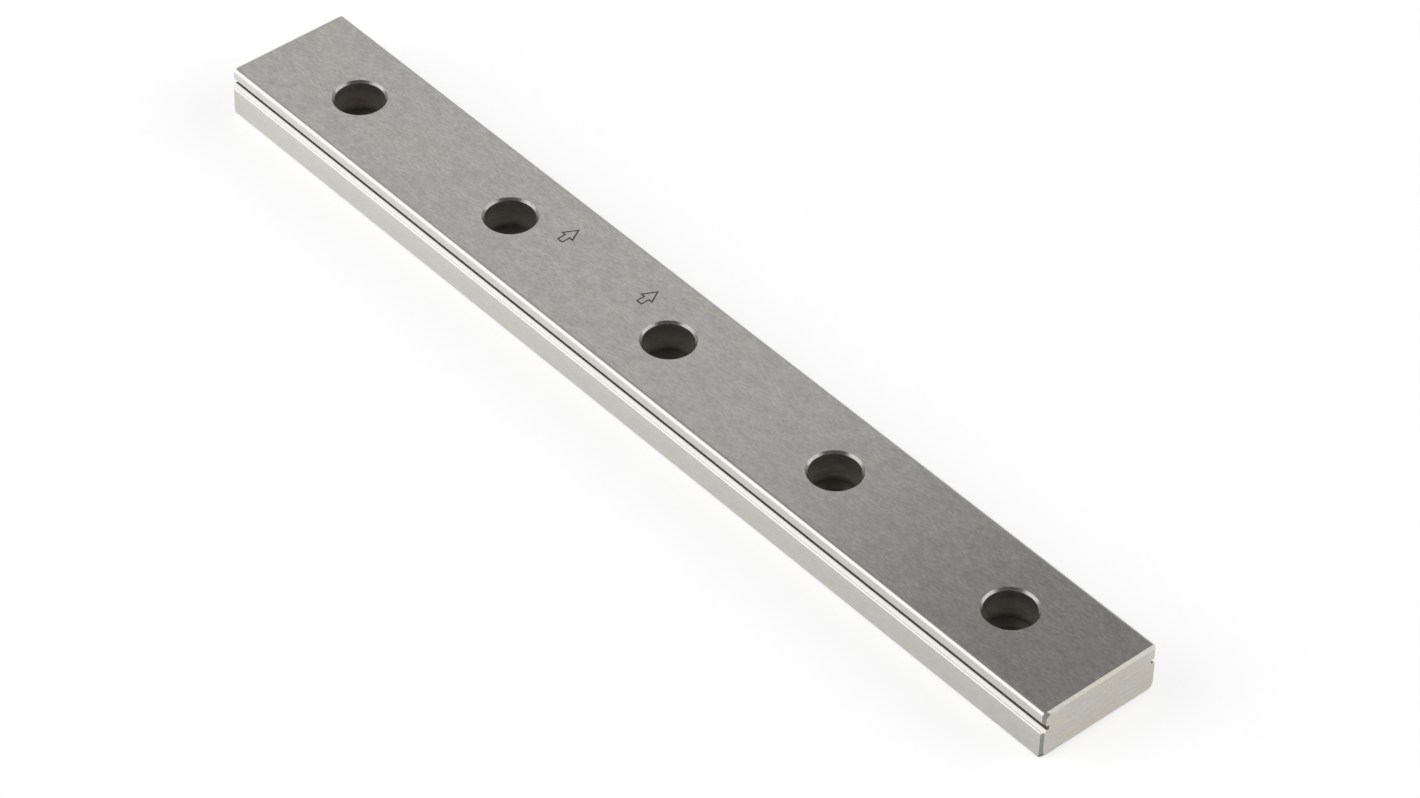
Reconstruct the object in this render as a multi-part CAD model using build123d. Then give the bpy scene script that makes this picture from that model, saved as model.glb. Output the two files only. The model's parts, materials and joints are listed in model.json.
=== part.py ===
from build123d import *

import math
import os

# A ground steel guide rail, which a ball-bearing carriage runs along.
# X runs along the rail, Y across it, and Z up from the face that it is screwed down on.
# The origin is the centre of that face. All sizes are millimetres and degrees.

# Screw holes: one row down the middle, each counterbored for a screw's head
hole_count = 5
hole_pitch = 30.0
end_distance = 15.0
screw_hole_diameter = 3.5
screw_hole_edge_chamfer = 0.2
counterbore_diameter = 6.5
counterbore_depth = 4.5
counterbore_rim_chamfer = 0.3

# Bar: the head above the raceways stands back a little from the sides of the body below them
rail_length = (hole_count - 1) * hole_pitch + 2 * end_distance
rail_width = 18.0
head_set_back = 0.1
rail_height = 7.0
top_edge_radius = 0.6
bottom_edge_chamfer = 0.2
end_edge_chamfer = 0.35

# Raceways: a groove along each side, ground so that a ball touches it at two points
ball_diameter = 1.588
raceway_conformity = 0.52
contact_angle = 45.0
raceway_height = 4.75
ball_centre_standoff = 0.15
raceway_lip_chamfer = 0.1

# Slot along the bottom of each raceway, which clears the wire that keeps the balls in
relief_width = 0.6
relief_depth = 1.0

# How far a cutting shape reaches past the face that it cuts
overcut = 1.0


def make_plain_bar(width):
    """A bar of the rail's length and height, with its long edges and its ends broken."""
    with BuildPart() as bar:
        Box(rail_length, width, rail_height, align=(Align.CENTER, Align.CENTER, Align.MIN))
        chamfer(bar.faces().filter_by(Axis.X).edges(), end_edge_chamfer)
        with BuildSketch(Plane.YZ) as outline:
            Rectangle(width, rail_height, align=(Align.CENTER, Align.MIN))
            fillet(outline.vertices().group_by(Axis.Y)[-1], top_edge_radius)
            chamfer(outline.vertices().group_by(Axis.Y)[0], bottom_edge_chamfer)
        extrude(amount=rail_length / 2, both=True, mode=Mode.INTERSECT)
    return bar.part


def make_bar():
    """The bar before anything is cut into it: the body with the head on it."""
    raceway_plane = Plane.XY.offset(raceway_height)
    body = split(make_plain_bar(rail_width), bisect_by=raceway_plane, keep=Keep.BOTTOM)
    head = split(make_plain_bar(rail_width - 2 * head_set_back), bisect_by=raceway_plane, keep=Keep.TOP)
    return body + head


def make_half_space(wall):
    """The closed outline of what the upper half of a raceway takes away, down to its middle.

    X points out of the rail, and wall is the X of the rail's side above the groove. The flank
    is an arc slightly wider than the ball, and its centre is set back past the ball's centre
    on the line through the point of contact.
    """
    flank_radius = raceway_conformity * ball_diameter
    set_back = flank_radius - ball_diameter / 2
    centre_x = ball_centre_standoff + set_back * math.cos(math.radians(contact_angle))
    centre_y = -set_back * math.sin(math.radians(contact_angle))
    slot_angle = 180 - math.degrees(math.asin((relief_width / 2 - centre_y) / flank_radius))
    lip_start = wall - raceway_lip_chamfer
    lip_angle = math.degrees(math.acos((lip_start - centre_x) / flank_radius))
    lip_reach = overcut - lip_start

    with BuildSketch() as space:
        with BuildLine():
            flank = CenterArc((centre_x, centre_y), flank_radius, slot_angle, lip_angle - slot_angle)
            lip = Line(flank @ 1, flank @ 1 + Vector(lip_reach, lip_reach))
            slot_side = Line(flank @ 0, (-relief_depth, relief_width / 2))
            Polyline(slot_side @ 1, (-relief_depth, 0), (overcut, 0), lip @ 1)
        make_face()
    return space.sketch


def make_raceway_space():
    """The whole outline of what one raceway takes away, about the middle of its mouth."""
    return make_half_space(-head_set_back) + mirror(make_half_space(0), about=Plane.XZ)


def cut_raceways(bar):
    """The bar with a raceway along each side, from end to end."""
    with BuildPart() as grooved:
        add(bar)
        with BuildSketch(Plane.YZ):
            with Locations((rail_width / 2, raceway_height)):
                add(make_raceway_space())
            mirror(about=Plane.YZ)
        extrude(amount=rail_length / 2 + overcut, both=True, mode=Mode.SUBTRACT)
    return grooved.part


def cut_screw_holes(bar):
    """The bar with its row of counterbored holes, each with its top rim and lower edge broken."""
    with BuildPart() as drilled:
        add(bar)
        with Locations((0, 0, rail_height)):
            with GridLocations(hole_pitch, 0, hole_count, 1):
                CounterBoreHole(
                    radius=screw_hole_diameter / 2,
                    counter_bore_radius=counterbore_diameter / 2,
                    counter_bore_depth=counterbore_depth,
                    depth=rail_height,
                )
        circles = drilled.edges().filter_by(GeomType.CIRCLE).group_by(Axis.Z)
        chamfer(circles[-1], counterbore_rim_chamfer)
        chamfer(circles[0], screw_hole_edge_chamfer)
    return drilled.part


def make_guide_rail():
    """The finished rail, in one piece."""
    rail = cut_screw_holes(cut_raceways(make_bar()))
    rail.label = "guide_rail"
    return rail


os.makedirs("parts", exist_ok=True)
guide_rail = make_guide_rail()
export_step(guide_rail, "parts/guide_rail.step")
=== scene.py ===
import json
import math

import bmesh
import bpy
from mathutils import Matrix, Vector


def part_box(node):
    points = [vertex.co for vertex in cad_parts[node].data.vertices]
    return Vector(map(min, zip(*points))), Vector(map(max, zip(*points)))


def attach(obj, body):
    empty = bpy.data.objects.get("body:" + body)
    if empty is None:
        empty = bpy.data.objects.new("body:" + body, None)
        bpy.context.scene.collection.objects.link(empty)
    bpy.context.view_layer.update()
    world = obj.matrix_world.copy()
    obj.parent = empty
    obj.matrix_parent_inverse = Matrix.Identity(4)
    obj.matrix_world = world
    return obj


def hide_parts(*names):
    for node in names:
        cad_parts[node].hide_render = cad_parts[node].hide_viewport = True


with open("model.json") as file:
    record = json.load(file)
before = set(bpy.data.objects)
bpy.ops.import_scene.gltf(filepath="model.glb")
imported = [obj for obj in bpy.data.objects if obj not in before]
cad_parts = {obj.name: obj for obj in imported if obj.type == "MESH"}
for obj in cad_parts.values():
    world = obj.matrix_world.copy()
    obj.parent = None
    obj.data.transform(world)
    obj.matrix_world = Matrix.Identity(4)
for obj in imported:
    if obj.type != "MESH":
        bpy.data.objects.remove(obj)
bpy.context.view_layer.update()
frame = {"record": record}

# A ground steel guide rail on white paper.
# X runs along the rail, Y across it, and Z up from the face that it is screwed down on.
# The rail is modelled in millimetres and brought to metres at the end.
MM = 0.001

# Bar
low_corner, high_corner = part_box("guide_rail")
rail_length = (high_corner.x - low_corner.x) / MM
rail_width = (high_corner.y - low_corner.y) / MM
rail_height = (high_corner.z - low_corner.z) / MM
head_set_back = 0.1
top_edge_radius = 0.6
bottom_edge_chamfer = 0.2
end_edge_chamfer = 0.35
end_corner_radius = 0.8

# Raceways, and the slot along the bottom of each
mounts = {mount["name"]: mount for mount in frame["record"]["mounts"]}
ball_diameter = 1.588
raceway_conformity = 0.52
contact_angle = math.radians(45)
raceway_height = mounts["raceway_slide"]["pos_m"][2] / MM
ball_centre_standoff = 0.15
raceway_lip_chamfer = 0.1
relief_width = 0.6
relief_depth = 1.0

# Screw holes
counterbores = [mount for name, mount in mounts.items() if name.startswith("counterbore_")]
hole_places = [mount["pos_m"][0] / MM for mount in counterbores]
counterbore_radius = counterbores[0]["dims"]["r_mm"]
counterbore_rim_chamfer = 0.3
counterbore_depth = counterbores[0]["dims"]["length_mm"] + counterbore_rim_chamfer
screw_hole_radius = mounts["middle_screw_hole"]["dims"]["r_mm"]
screw_hole_edge_chamfer = 0.2

# Arrows cut lightly into the top: outlines that point at the side the rail is set against
arrow_places = (-22.5, -7.5)
arrow_tail = 1.64
arrow_neck = 2.84
arrow_tip = 4.93
arrow_shaft_half_width = 0.52
arrow_head_half_width = 1.12
arrow_line = 0.2
arrow_depth = 0.02

# How far a cutting shape reaches past the face that it cuts
overcut = 1.0
# The fine break that stoning leaves: how far it reaches along each side of a corner, the most of
# a short side that it takes, and where its points stand as shares of the way round it
stoned_reach = 0.05
stoned_most = 0.4
stoned_points = (0, 0.3, 0.7, 1)
# Faces that meet at more than this are shaded with an edge between them
crease_angle = math.radians(28)
# Points closer together than this are one, in a shape as it is drawn and in the rail once it is cut
drawn_gap = 0.001
cut_gap = 0.004

# Straight pieces that each curve is made of
flank_steps = 10
top_edge_steps = 12
end_corner_steps = 8
turned_steps = 64

# A face is on a plane when its middle is nearer to it than this
on_plane = 0.001
# It faces along an axis fully, partly or slightly when its normal has more than this share there
faces_fully = 0.9
faces_partly = 0.2
faces_slightly = 0.1
# The break round an end is brighter where it faces up or towards +Y by more than this; elsewhere its
# colour is painted dark as shade
lip_share = 0.6

# Finishes, in the order of the rail's material slots
FINISHES = (
    "top",
    "side",
    "edge",
    "raceway",
    "slot",
    "end",
    "painted_dark_end_break",
    "bore",
    "rim",
    "arrow",
    "underside",
    "end_lip",
    "seat",
)
SLOT_OF = {name: index for index, name in enumerate(FINISHES)}

# The range that most of a noise's values lie in, and a narrower one that brings out its extremes
USUAL = (0.25, 0.75)
NARROW = (0.35, 0.65)


def new_object(name, bm):
    """An object that holds the finished bmesh."""
    mesh = bpy.data.meshes.new(name)
    bm.to_mesh(mesh)
    bm.free()
    obj = bpy.data.objects.new(name, mesh)
    bpy.context.scene.collection.objects.link(obj)
    return obj


def copy_into(bm, target):
    """Adds one bmesh to another."""
    mesh = bpy.data.meshes.new("part")
    bm.to_mesh(mesh)
    bm.free()
    target.from_mesh(mesh)
    bpy.data.meshes.remove(mesh)


def arc(centre, radius, start, end, steps):
    """Points along an arc, both ends included."""
    points = []
    for step in range(steps + 1):
        angle = start + (end - start) * step / steps
        points.append((centre[0] + radius * math.cos(angle), centre[1] + radius * math.sin(angle)))
    return points


def soften(points):
    """The same chain of points with its sharper corners stoned round."""
    chain = [Vector(point) for point in points]
    soft = [chain[0]]
    for before, corner, after in zip(chain, chain[1:], chain[2:]):
        way_in = corner - before
        way_out = after - corner
        if way_in.angle(way_out) < crease_angle:
            soft.append(corner)
            continue
        reach = min(stoned_reach, stoned_most * way_in.length, stoned_most * way_out.length)
        start = corner - reach * way_in.normalized()
        end = corner + reach * way_out.normalized()
        for share in stoned_points:
            soft.append(start.lerp(corner, share).lerp(corner.lerp(end, share), share))
    return [tuple(point) for point in soft + chain[-1:]]


def raceway_half(wall):
    """Half of a raceway's outline, from the slot's bottom corner out to the rail's side.

    The first number of each point is its distance out from the body's side, the second its
    distance from the middle of the groove; wall is where the side above or below it stands.
    """
    flank_radius = raceway_conformity * ball_diameter
    set_back = flank_radius - ball_diameter / 2
    centre = (
        ball_centre_standoff + set_back * math.cos(contact_angle),
        -set_back * math.sin(contact_angle),
    )
    slot_angle = math.pi - math.asin((relief_width / 2 - centre[1]) / flank_radius)
    lip_angle = math.acos((wall - raceway_lip_chamfer - centre[0]) / flank_radius)
    flank = arc(centre, flank_radius, slot_angle, lip_angle, flank_steps)
    lip = (wall, flank[-1][1] + raceway_lip_chamfer)
    return [(-relief_depth, relief_width / 2)] + flank + [lip]


def both_sides(half):
    """A closed outline from its half on the +Y side, as (y, z)."""
    return half + [(-y, z) for y, z in reversed(half)]


def half_section():
    """The rail's section on its +Y side, as (y, z), from the bottom edge up to the top face."""
    body = rail_width / 2
    head = body - head_set_back
    points = [(body - bottom_edge_chamfer, 0), (body, bottom_edge_chamfer)]
    for out, rise in reversed(raceway_half(0)):
        points.append((body + out, raceway_height - rise))
    for out, rise in raceway_half(-head_set_back):
        points.append((body + out, raceway_height + rise))
    centre = (head - top_edge_radius, rail_height - top_edge_radius)
    points += arc(centre, top_edge_radius, 0, math.pi / 2, top_edge_steps)
    return soften(points)


def skin(name, rings):
    """A closed skin over rings that stand one behind another along X, each an (x, outline)."""
    bm = bmesh.new()
    before = None
    for x, outline in rings:
        ring = [bm.verts.new((x, y, z)) for y, z in outline]
        edges = [bm.edges.new((ring[index - 1], ring[index])) for index in range(len(ring))]
        if before:
            bmesh.ops.bridge_loops(bm, edges=before + edges)
        else:
            bmesh.ops.contextual_create(bm, geom=edges)
        before = edges
    bmesh.ops.contextual_create(bm, geom=before)
    bmesh.ops.recalc_face_normals(bm, faces=bm.faces)
    return new_object(name, bm)


def make_grooved_bar():
    """The rail's section drawn out along X, a little longer than the rail."""
    outline = both_sides(half_section())
    reach = rail_length / 2 + overcut
    return skin("bar", [(-reach, outline), (reach, outline)])


def envelope_outline(out):
    """The outlines of the body and the head as two boxes with rounded corners, one on the other.

    It stands outside both of them by the distance out.
    """
    body = rail_width / 2 + out
    head = body - head_set_back
    radius = end_corner_radius
    half = arc((body - radius, radius - out), radius, -math.pi / 2, 0, end_corner_steps)
    half += [(body, raceway_height), (head, raceway_height)]
    top = rail_height + out
    half += arc((head - radius, top - radius), radius, 0, math.pi / 2, end_corner_steps)
    return both_sides(half)


def make_envelope():
    """What the finished rail fits inside: it cuts the bar to length and breaks its ends' edges."""
    end = rail_length / 2
    beyond = (end, -end_edge_chamfer - overcut)
    corner = (end, -end_edge_chamfer)
    inside = (end - end_edge_chamfer - overcut, overcut)
    slope = soften([beyond, corner, inside])[1:]
    rings = [(x, envelope_outline(out)) for x, out in slope]
    return skin("envelope", rings + [(-x, outline) for x, outline in reversed(rings)])


def turn_profile(bm, profile, start, sweep, closed):
    """Turns a profile of (radius, height) about Z, from one angle and through another."""
    chain = []
    for radius, height in profile:
        chain.append(bm.verts.new((radius * math.cos(start), radius * math.sin(start), height)))
    edges = [bm.edges.new(pair) for pair in zip(chain, chain[1:])]
    bmesh.ops.spin(
        bm,
        geom=chain + edges,
        cent=(0, 0, 0),
        axis=(0, 0, 1),
        angle=sweep,
        steps=turned_steps,
        use_merge=closed,
    )
    bmesh.ops.remove_doubles(bm, verts=bm.verts, dist=drawn_gap)
    bmesh.ops.recalc_face_normals(bm, faces=bm.faces)


def add_screw_hole(cutters, place):
    """What one counterbored hole takes away, turned about its axis."""
    floor = rail_height - counterbore_depth
    edge_reach = screw_hole_edge_chamfer + overcut
    rim_reach = counterbore_rim_chamfer + overcut
    profile = [
        (0, -overcut),
        (screw_hole_radius + edge_reach, -overcut),
        (screw_hole_radius, screw_hole_edge_chamfer),
        (screw_hole_radius, floor),
        (counterbore_radius, floor),
        (counterbore_radius, rail_height - counterbore_rim_chamfer),
        (counterbore_radius + rim_reach, rail_height + overcut),
        (0, rail_height + overcut),
    ]
    bm = bmesh.new()
    turn_profile(bm, profile, 0, 2 * math.pi, True)
    bmesh.ops.translate(bm, vec=(place, 0, 0), verts=bm.verts)
    copy_into(bm, cutters)


def add_arrow(cutters, place):
    """What one arrow's outline takes away from the top face."""
    outline = (
        (-arrow_shaft_half_width, arrow_tail),
        (arrow_shaft_half_width, arrow_tail),
        (arrow_shaft_half_width, arrow_neck),
        (arrow_head_half_width, arrow_neck),
        (0, arrow_tip),
        (-arrow_head_half_width, arrow_neck),
        (-arrow_shaft_half_width, arrow_neck),
    )
    bm = bmesh.new()
    ring = [bm.verts.new((x, y, 0)) for x, y in outline]
    edges = [bm.edges.new((ring[index - 1], ring[index])) for index in range(len(ring))]
    bmesh.ops.contextual_create(bm, geom=edges)
    middle = bm.faces[:]
    bmesh.ops.inset_region(
        bm,
        faces=middle,
        thickness=arrow_line,
        use_boundary=True,
        use_even_offset=True,
    )
    bmesh.ops.delete(bm, geom=middle, context="FACES_ONLY")
    grown = bmesh.ops.extrude_face_region(bm, geom=bm.faces[:], use_keep_orig=True)["geom"]
    moved = [item for item in grown if isinstance(item, bmesh.types.BMVert)]
    bmesh.ops.translate(bm, vec=(0, 0, arrow_depth + overcut), verts=moved)
    bmesh.ops.translate(bm, vec=(place, 0, rail_height - arrow_depth), verts=bm.verts)
    bmesh.ops.recalc_face_normals(bm, faces=bm.faces)
    copy_into(bm, cutters)


def finish_in_hole(middle, normal):
    """The finish of a face in a screw hole."""
    if middle.z > rail_height - counterbore_rim_chamfer and normal.z > faces_partly:
        return "rim"
    if abs(middle.z - (rail_height - counterbore_depth)) < on_plane:
        return "seat"
    return "bore"


def finish_at_end(normal):
    """The finish of a face at either end."""
    if abs(normal.x) > faces_fully:
        return "end"
    if normal.z + max(normal.y, 0) > lip_share:
        return "end_lip"
    return "painted_dark_end_break"


def finish_along_side(middle, normal):
    """The finish of a face that runs along the rail, below its top."""
    half = raceway_half(0)
    in_mouth = abs(middle.z - raceway_height) < half[-1][1]
    in_slot = abs(middle.y) < rail_width / 2 + half[1][0]
    if in_mouth and in_slot:
        return "slot"
    if in_mouth and abs(normal.z) > faces_slightly:
        return "raceway"
    if middle.z > rail_height - top_edge_radius:
        return "edge"
    return "side"


def finish_of(face):
    """The name of the finish that a face of the rail has, by its place and the way it faces."""
    middle = face.calc_center_median()
    normal = face.normal
    if middle.z > rail_height - on_plane:
        return "top"
    if middle.z < on_plane:
        return "underside"
    from_axis = min(math.hypot(middle.x - place, middle.y) for place in hole_places)
    if from_axis < counterbore_radius + counterbore_rim_chamfer:
        return finish_in_hole(middle, normal)
    from_arrow = min(abs(middle.x - place) for place in arrow_places)
    if from_arrow < arrow_head_half_width and middle.z > rail_height - 2 * arrow_depth:
        return "arrow"
    if abs(normal.x) > faces_partly:
        return finish_at_end(normal)
    return finish_along_side(middle, normal)


def make_rail():
    """The rail as one closed mesh in metres, with the finish of every face picked."""
    bar = make_grooved_bar()
    envelope = make_envelope()
    cutters = bmesh.new()
    for place in hole_places:
        add_screw_hole(cutters, place)
    for place in arrow_places:
        add_arrow(cutters, place)
    cutter = new_object("cutters", cutters)
    for operation, tool in (("INTERSECT", envelope), ("DIFFERENCE", cutter)):
        cut = bar.modifiers.new("cut", "BOOLEAN")
        cut.object = tool
        cut.operation = operation
        cut.solver = "EXACT"
    depsgraph = bpy.context.evaluated_depsgraph_get()
    mesh = bpy.data.meshes.new_from_object(bar.evaluated_get(depsgraph))
    for tool in (bar, envelope, cutter):
        bpy.data.objects.remove(tool)
    bm = bmesh.new()
    bm.from_mesh(mesh)
    bmesh.ops.remove_doubles(bm, verts=bm.verts, dist=cut_gap)
    bm.normal_update()
    for face in bm.faces:
        face.material_index = SLOT_OF[finish_of(face)]
    for edge in bm.edges:
        edge.smooth = edge.is_manifold and edge.calc_face_angle() < crease_angle
    bmesh.ops.scale(bm, vec=(MM, MM, MM), verts=bm.verts)
    rail = new_object("ground_rail", bm)
    for poly in rail.data.polygons:
        poly.use_smooth = True
    return rail


class Finish:
    """A steel finish that is put together from noise in the rail's own millimetres."""

    def __init__(self, name):
        self.material = bpy.data.materials.new(name)
        self.material.use_nodes = True
        self.tree = self.material.node_tree
        self.shader = self.tree.nodes["Principled BSDF"]
        self.place = self.tree.nodes.new("ShaderNodeTexCoord").outputs["Object"]

    def noise(self, per_mm, detail=2.0, roughness=0.5, distortion=0.0):
        """Noise with the given number of grains to the millimetre along X, Y and Z."""
        stretch = self.tree.nodes.new("ShaderNodeMapping")
        stretch.inputs["Scale"].default_value = [count / MM for count in per_mm]
        self.tree.links.new(self.place, stretch.inputs["Vector"])
        grain = self.tree.nodes.new("ShaderNodeTexNoise")
        grain.inputs["Scale"].default_value = 1.0
        grain.inputs["Detail"].default_value = detail
        grain.inputs["Roughness"].default_value = roughness
        grain.inputs["Distortion"].default_value = distortion
        self.tree.links.new(stretch.outputs[0], grain.inputs["Vector"])
        return grain.outputs["Fac"]

    def spread(self, value, low, high, source=USUAL):
        """The value's range, brought to run from low to high."""
        node = self.tree.nodes.new("ShaderNodeMapRange")
        node.clamp = True
        node.inputs["From Min"].default_value = source[0]
        node.inputs["From Max"].default_value = source[1]
        node.inputs["To Min"].default_value = low
        node.inputs["To Max"].default_value = high
        self.tree.links.new(value, node.inputs["Value"])
        return node.outputs["Result"]

    def around(self, value, middle, swing, source=USUAL):
        """The value's range, brought to run from a swing below the middle to a swing above it."""
        return self.spread(value, middle - swing, middle + swing, source)

    def height(self):
        """The height above the rail's underside, in millimetres."""
        split = self.tree.nodes.new("ShaderNodeSeparateXYZ")
        self.tree.links.new(self.place, split.inputs[0])
        return self.spread(split.outputs["Z"], 0, rail_height, (0, rail_height * MM))

    def combine(self, operation, first, second):
        """One value worked out from two."""
        node = self.tree.nodes.new("ShaderNodeMath")
        node.operation = operation
        self.tree.links.new(first, node.inputs[0])
        self.tree.links.new(second, node.inputs[1])
        return node.outputs[0]

    def by_height(self, value, bands):
        """The value scaled by height: each band is the scale below it, above it, and its span."""
        height = self.height()
        for below, above, span in bands:
            value = self.combine("MULTIPLY", value, self.spread(height, below, above, span))
        return value

    def tint(self, value, first, second):
        """A colour between two, picked by a value from 0 to 1."""
        node = self.tree.nodes.new("ShaderNodeMix")
        node.data_type = "RGBA"
        node.inputs["A"].default_value = (*first, 1)
        node.inputs["B"].default_value = (*second, 1)
        self.tree.links.new(value, node.inputs["Factor"])
        return node.outputs["Result"]

    def shade(self, colour, value):
        """The colour made lighter or darker by a value about 1."""
        node = self.tree.nodes.new("ShaderNodeMix")
        node.data_type = "RGBA"
        node.blend_type = "MULTIPLY"
        node.inputs["Factor"].default_value = 1.0
        self.tree.links.new(colour, node.inputs["A"])
        self.tree.links.new(value, node.inputs["B"])
        return node.outputs["Result"]

    def close(self, colour, roughness, height, relief, metallic=1.0):
        """Sets the shader from the colour, roughness and height; relief is in millimetres."""
        self.tree.links.new(colour, self.shader.inputs["Base Color"])
        self.tree.links.new(roughness, self.shader.inputs["Roughness"])
        self.shader.inputs["Metallic"].default_value = metallic
        bump = self.tree.nodes.new("ShaderNodeBump")
        bump.inputs["Strength"].default_value = 1.0
        bump.inputs["Distance"].default_value = relief * MM
        self.tree.links.new(height, bump.inputs["Height"])
        self.tree.links.new(bump.outputs[0], self.shader.inputs["Normal"])
        return self.material


def ground_face(name, cool, warm, roughness, contrast, bands=()):
    """A face ground along the rail: short grains that run along X, over soft clouds of tint; bands,
    when given, paint light and shade into its colour by height.
    """
    finish = Finish(name)
    grain = finish.noise(per_mm=(1.3, 3.0, 3.0), detail=3.0)
    fine = finish.noise(per_mm=(0.25, 16.0, 16.0))
    cloud = finish.noise(per_mm=(0.11, 0.2, 0.2))
    patch = finish.noise(per_mm=(0.5, 0.9, 0.9))
    patch_share = 0.6
    grained = finish.around(grain, 1, contrast, NARROW)
    patched = finish.around(patch, 1, patch_share * contrast, NARROW)
    lined = finish.around(fine, 1, swing=0.02)
    both = finish.combine("MULTIPLY", finish.combine("MULTIPLY", grained, patched), lined)
    both = finish.by_height(both, bands)
    tint = finish.tint(finish.spread(cloud, 0, 1), cool, warm)
    rough = finish.around(grain, roughness, swing=0.03)
    height = finish.combine("ADD", grain, fine)
    return finish.close(finish.shade(tint, both), rough, height, relief=0.0004)


def end_face(name, level, roughness):
    """The end, ground across: streaks along Y with warm and cool blotches."""
    finish = Finish(name)
    streak = finish.noise(per_mm=(1.0, 0.35, 3.2), detail=4.0, roughness=0.6)
    blotch = finish.noise(per_mm=(0.3, 0.28, 0.45), detail=3.0, distortion=0.4)
    grit = finish.noise(per_mm=(3.0, 2.2, 3.0))
    cool = [level * share for share in (1.0, 0.985, 0.93)]
    warm = [level * share for share in (1.06, 0.985, 0.86)]
    tint = finish.tint(finish.spread(blotch, 0, 1, NARROW), cool, warm)
    streaked = finish.around(streak, 1, swing=0.1)
    gritty = finish.around(grit, 1, swing=0.06)
    both = finish.combine("MULTIPLY", streaked, gritty)
    rough = finish.around(streak, roughness, swing=0.06)
    return finish.close(finish.shade(tint, both), rough, streak, relief=0.002)


def painted_dark_end_break():
    """The chamfer round the end, made by hand on a wheel: uneven, and painted dark as shade,
    standing in for the darker surroundings that it reflects.
    """
    finish = Finish("painted_dark_end_break")
    patch = finish.noise(per_mm=(1.3, 1.3, 1.3), detail=3.0)
    grit = finish.noise(per_mm=(5.0, 5.0, 5.0))
    light = (0.36, 0.35, 0.33)
    dark = (0.29, 0.28, 0.255)
    tint = finish.tint(finish.spread(patch, 0, 1), light, dark)
    patched = finish.around(patch, 1, swing=0.14)
    gritty = finish.around(grit, 1, swing=0.1)
    both = finish.combine("MULTIPLY", patched, gritty)
    rough = finish.spread(grit, low=0.42, high=0.55)
    return finish.close(finish.shade(tint, both), rough, patch, relief=0.01)


def scale_finish(name, light, dark, metallic, roughness=0.52, bands=()):
    """Steel with hardening scale on it: dark, with turned rings; bands, when given, paint light and
    shade into its colour by height.
    """
    finish = Finish(name)
    ring = finish.noise(per_mm=(0.6, 0.6, 7.0))
    patch = finish.noise(per_mm=(0.7, 0.7, 0.7), detail=3.0)
    tint = finish.tint(finish.spread(patch, 0, 1), light, dark)
    ringed = finish.around(ring, 1, swing=0.12)
    patched = finish.around(patch, 1, swing=0.1)
    both = finish.by_height(finish.combine("MULTIPLY", ringed, patched), bands)
    rough = finish.around(ring, roughness, swing=0.05)
    return finish.close(finish.shade(tint, both), rough, ring, relief=0.004, metallic=metallic)


def make_finishes():
    """The rail's materials, in the order of FINISHES."""
    # Painted highlight: the raceway's colour is lightened near its lower lip, so that it is
    # brightest there.
    raceway_painted_highlight = ((1.36, 1.0, (4.04, 4.18)), (0.80, 1.0, (3.92, 3.99)))
    # Painted shade: the bore's colour is darkened at its top and at its bottom, which leaves a
    # painted lighter band a little above its seat.
    bore_painted_shade = ((1.0, 0.45, (4.3, 6.0)), (0.4, 1.0, (2.6, 3.4)))
    return [
        ground_face(
            "ground_top",
            cool=(0.60, 0.594, 0.567),
            warm=(0.62, 0.604, 0.561),
            roughness=0.11,
            contrast=0.10,
        ),
        ground_face(
            "ground_side",
            cool=(0.603, 0.596, 0.566),
            warm=(0.620, 0.601, 0.558),
            roughness=0.30,
            contrast=0.03,
        ),
        ground_face(
            "ground_edge",
            cool=(0.56, 0.557, 0.53),
            warm=(0.57, 0.56, 0.535),
            roughness=0.27,
            contrast=0.02,
        ),
        ground_face(
            "ground_raceway",
            cool=(0.545, 0.535, 0.51),
            warm=(0.56, 0.545, 0.505),
            roughness=0.38,
            contrast=0.03,
            bands=raceway_painted_highlight,
        ),
        scale_finish(
            "slot_scale",
            light=(0.36, 0.345, 0.31),
            dark=(0.29, 0.275, 0.24),
            metallic=0.8,
        ),
        end_face("ground_end", level=0.635, roughness=0.40),
        # Painted shade: the break round the ends is coloured dark.
        painted_dark_end_break(),
        scale_finish(
            "bore_scale",
            light=(0.95, 0.91, 0.85),
            dark=(0.88, 0.84, 0.78),
            metallic=1.0,
            roughness=0.46,
            bands=bore_painted_shade,
        ),
        ground_face(
            "cut_rim",
            cool=(0.32, 0.315, 0.295),
            warm=(0.35, 0.34, 0.32),
            roughness=0.27,
            contrast=0.12,
        ),
        scale_finish(
            "arrow_burn",
            light=(0.15, 0.145, 0.125),
            dark=(0.11, 0.105, 0.09),
            metallic=0.6,
        ),
        ground_face(
            "ground_underside",
            cool=(0.585, 0.58, 0.555),
            warm=(0.605, 0.59, 0.55),
            roughness=0.30,
            contrast=0.05,
        ),
        end_face("end_lip", level=0.64, roughness=0.55),
        # The counterbore's seat is coloured far darker than the bore.
        scale_finish(
            "dark_seat",
            light=(0.16, 0.15, 0.13),
            dark=(0.12, 0.11, 0.095),
            metallic=0.7,
            roughness=0.45,
        ),
    ]


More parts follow.
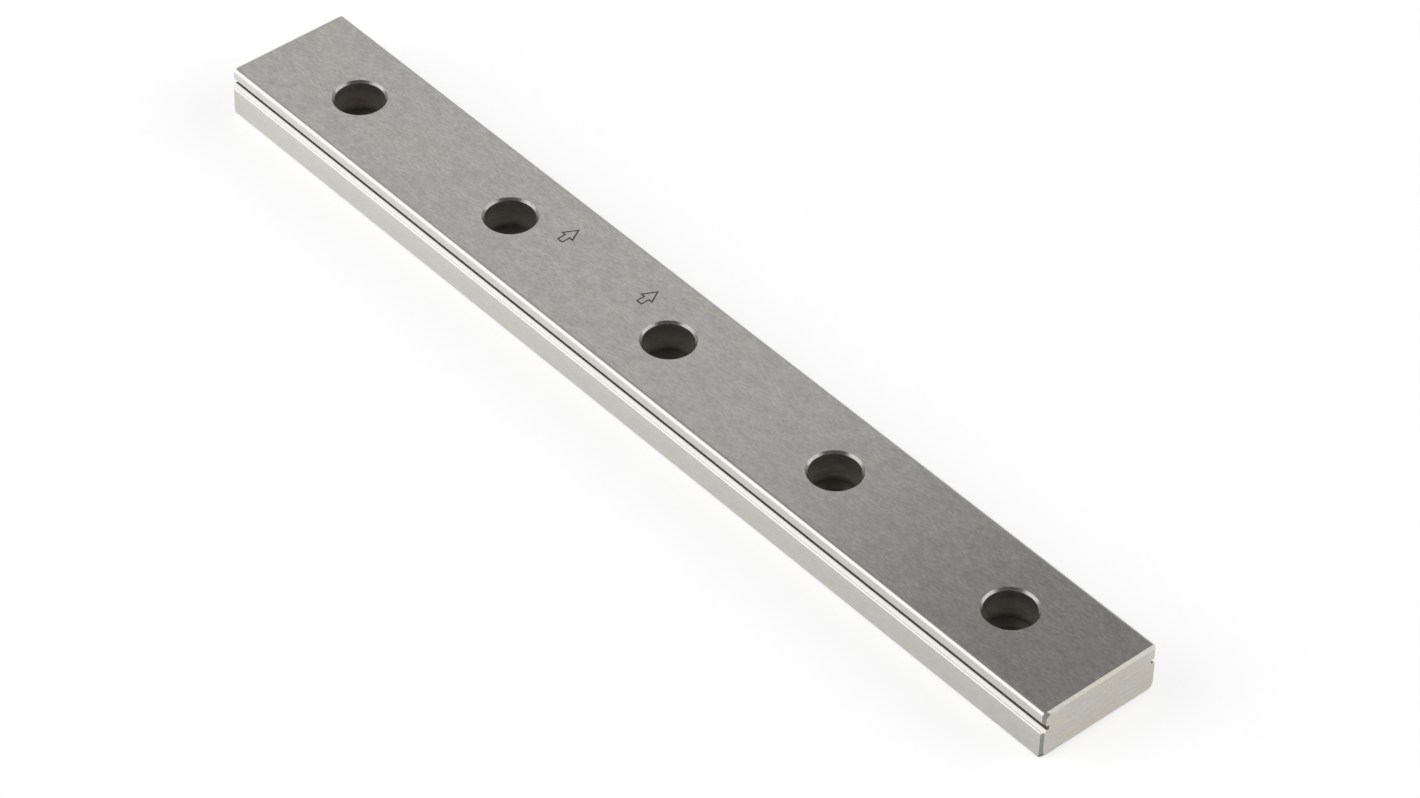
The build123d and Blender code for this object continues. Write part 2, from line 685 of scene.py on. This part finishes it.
def add_camera():
    """The photograph's camera, found from the rail's edges and hole rims in it."""
    azimuth = math.radians(47.887)
    elevation = math.radians(42.254)
    roll = math.radians(1.638)
    distance = 0.64841
    aim_right = -0.00514
    aim_up = 0.00194

    back = Vector((
        math.sin(azimuth) * math.cos(elevation),
        -math.cos(azimuth) * math.cos(elevation),
        math.sin(elevation),
    ))
    level = Vector((math.cos(azimuth), math.sin(azimuth), 0))
    rise = back.cross(level)
    right = math.cos(roll) * level + math.sin(roll) * rise
    up = -math.sin(roll) * level + math.cos(roll) * rise
    place = back * distance - right * aim_right - up * aim_up

    data = bpy.data.cameras.new("camera")
    data.sensor_width = 36
    data.lens = 135.43
    data.clip_start = 0.01
    camera = bpy.data.objects.new("camera", data)
    turn = Matrix((right, up, back)).transposed().to_4x4()
    camera.matrix_world = Matrix.Translation(place) @ turn
    bpy.context.scene.collection.objects.link(camera)
    bpy.context.scene.camera = camera


# Studio, in metres: a round table, a kerb that curves up from it, and a wall behind
table_radius = 1.6
wall_radius = 2.5
wall_foot = 1.3
wall_top = 4.8
kerb_profile = (
    (table_radius, 0),
    (2.1, 0.1),
    (2.4, 0.35),
    (wall_radius, 0.8),
    (wall_radius, wall_foot),
)
# The table lies this far below the rail's underside
table_drop = 0.0001
# Angles about Z, in degrees from +X towards +Y. The camera stands at -42.
straight_behind_rail = 138
wall_sweep = 230
full_turn = 360

# The paper's own white, and how much it glows to the camera
paper_white = 0.8
camera_glow = 0.64
# What it shows in reflections, where it is bright, where it is dim, and on the table behind the rail
bright_level = 0.435
dim_level = 0.12
far_table_level = 0.64
# Beside the rail that level grows with the distance from a line, as a power of it, up to a limit
growth_start = 0.0085
growth_unit = 0.0024
growth_power = 0.3
growth_limit = 1.7
# The light that comes from nowhere in particular
sky_level = 0.20


class Paper:
    """Matt white that glows evenly to the camera, and by its own level in reflections."""

    def __init__(self, name):
        self.material = bpy.data.materials.new(name)
        self.material.use_nodes = True
        self.tree = self.material.node_tree
        self.tree.nodes.clear()
        self.place = self.tree.nodes.new("ShaderNodeTexCoord").outputs["Object"]

    def calculate(self, operation, first, second):
        """One value worked out from two, each a value or a plain number."""
        node = self.tree.nodes.new("ShaderNodeMath")
        node.operation = operation
        for socket, value in zip(node.inputs, (first, second)):
            if isinstance(value, float):
                socket.default_value = value
            else:
                self.tree.links.new(value, socket)
        return node.outputs[0]

    def ramp(self, axis, start, end, low, high):
        """A level that runs from low to high between two places along an axis, in metres."""
        along = self.tree.nodes.new("ShaderNodeVectorMath")
        along.operation = "DOT_PRODUCT"
        along.inputs[1].default_value = axis
        self.tree.links.new(self.place, along.inputs[0])
        level = self.tree.nodes.new("ShaderNodeMapRange")
        level.clamp = True
        level.inputs["From Min"].default_value = start
        level.inputs["From Max"].default_value = end
        level.inputs["To Min"].default_value = low
        level.inputs["To Max"].default_value = high
        self.tree.links.new(along.outputs["Value"], level.inputs["Value"])
        return level.outputs["Result"]

    def beside_rail(self):
        """A painted shadow in the glow that reflections show: 0 under the rail, 1 close beside it,
        where it keeps light off, and more farther out.
        """
        split = self.tree.nodes.new("ShaderNodeSeparateXYZ")
        self.tree.links.new(self.place, split.inputs[0])
        along = self.calculate("ABSOLUTE", split.outputs["X"], 0.0)
        across = self.calculate("ABSOLUTE", split.outputs["Y"], 0.0)
        in_length = self.calculate("LESS_THAN", along, rail_length / 2 * MM)
        in_width = self.calculate("LESS_THAN", across, rail_width / 2 * MM)
        under_rail = self.calculate("MULTIPLY", in_length, in_width)
        open_paper = self.calculate("SUBTRACT", 1.0, under_rail)
        from_line = self.calculate("SUBTRACT", across, growth_start)
        away = self.calculate("DIVIDE", from_line, growth_unit)
        growth = self.calculate("POWER", away, growth_power)
        limited = self.calculate("MINIMUM", growth, growth_limit)
        return self.calculate("MULTIPLY", self.calculate("MAXIMUM", limited, 1.0), open_paper)

    def close(self, mirrored):
        """Sets the surface: white paper with its glow added; mirrored is the glow in reflections."""
        path = self.tree.nodes.new("ShaderNodeLightPath")
        glossy = path.outputs["Is Glossy Ray"]
        through = path.outputs["Is Transmission Ray"]
        in_mirror = self.calculate("MAXIMUM", glossy, through)
        to_camera = self.calculate("MULTIPLY", path.outputs["Is Camera Ray"], camera_glow)
        glow = self.tree.nodes.new("ShaderNodeEmission")
        reflected = self.calculate("MULTIPLY", in_mirror, mirrored)
        level = self.calculate("ADD", to_camera, reflected)
        self.tree.links.new(level, glow.inputs["Strength"])
        paper = self.tree.nodes.new("ShaderNodeBsdfDiffuse")
        paper.inputs["Color"].default_value = (paper_white, paper_white, paper_white, 1)
        both = self.tree.nodes.new("ShaderNodeAddShader")
        self.tree.links.new(paper.outputs[0], both.inputs[0])
        self.tree.links.new(glow.outputs[0], both.inputs[1])
        out = self.tree.nodes.new("ShaderNodeOutputMaterial")
        self.tree.links.new(both.outputs[0], out.inputs["Surface"])
        return self.material


def table_paper():
    """The table: darker in reflections on the camera's side of the rail, and close to the rail."""
    paper = Paper("white_table")
    level = paper.ramp(
        axis=(0.743, -0.669, 0.0),
        start=-0.06,
        end=0.08,
        low=far_table_level,
        high=bright_level,
    )
    return paper.close(paper.calculate("MULTIPLY", level, paper.beside_rail()))


def wall_paper():
    """The wall: bright low down and on the left, dim above a slanting edge on the right."""
    paper = Paper("white_wall")
    low_down = paper.ramp(
        axis=(0.0, 0.0, 1.0),
        start=1.0,
        end=1.5,
        low=bright_level,
        high=dim_level,
    )
    left = paper.ramp(
        axis=(-0.517, -0.535, -0.668),
        start=-1.764,
        end=-1.534,
        low=dim_level,
        high=bright_level,
    )
    return paper.close(paper.calculate("MAXIMUM", low_down, left))


def add_sheet(name, profile, start, sweep, paper):
    """One turned sheet of the studio; the angles are in degrees."""
    bm = bmesh.new()
    turn_profile(bm, profile, math.radians(start), math.radians(sweep), sweep == full_turn)
    bmesh.ops.translate(bm, vec=(0, 0, -table_drop), verts=bm.verts)
    sheet = new_object(name, bm)
    for poly in sheet.data.polygons:
        poly.use_smooth = True
    sheet.data.materials.append(paper)


def add_softbox(name, azimuth, elevation, distance, size, radiance):
    """A rectangular lamp that faces the rail. The angles are in degrees."""
    data = bpy.data.lights.new(name, "AREA")
    data.shape = "RECTANGLE"
    data.size, data.size_y = size
    data.energy = radiance * math.pi * size[0] * size[1]
    lamp = bpy.data.objects.new(name, data)
    flat = math.cos(math.radians(elevation))
    toward = Vector((
        flat * math.cos(math.radians(azimuth)),
        flat * math.sin(math.radians(azimuth)),
        math.sin(math.radians(elevation)),
    ))
    lamp.location = toward * distance
    lamp.rotation_euler = toward.to_track_quat("Z", "Y").to_euler()
    bpy.context.scene.collection.objects.link(lamp)


def add_studio():
    """A white table with a wall that curves up behind it, and soft lamps to the left and right."""
    wall = wall_paper()
    wall_profile = ((wall_radius, wall_foot), (wall_radius, wall_top))
    wall_start = straight_behind_rail - wall_sweep / 2
    add_sheet("white_table", ((0, 0), (table_radius, 0)), 0, full_turn, table_paper())
    add_sheet("white_kerb", kerb_profile, 0, full_turn, wall)
    add_sheet("white_wall", wall_profile, wall_start, wall_sweep, wall)

    world = bpy.data.worlds.new("studio")
    bpy.context.scene.world = world
    world.use_nodes = True
    sky = world.node_tree.nodes["Background"]
    sky.inputs["Color"].default_value = (sky_level, sky_level, sky_level, 1)

    add_softbox(
        "left_softbox",
        azimuth=-126,
        elevation=29,
        distance=1.4,
        size=(1.37, 1.43),
        radiance=1.29,
    )
    add_softbox(
        "right_softbox",
        azimuth=48,
        elevation=30,
        distance=1.4,
        size=(1.35, 0.95),
        radiance=1.35,
    )


rail = make_rail()
for material in make_finishes():
    rail.data.materials.append(material)
weighted = rail.modifiers.new("flat_faces", "WEIGHTED_NORMAL")
weighted.keep_sharp = True
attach(rail, "root")
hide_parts("guide_rail")

add_camera()
add_studio()
bpy.context.scene.view_settings.view_transform = "Standard"
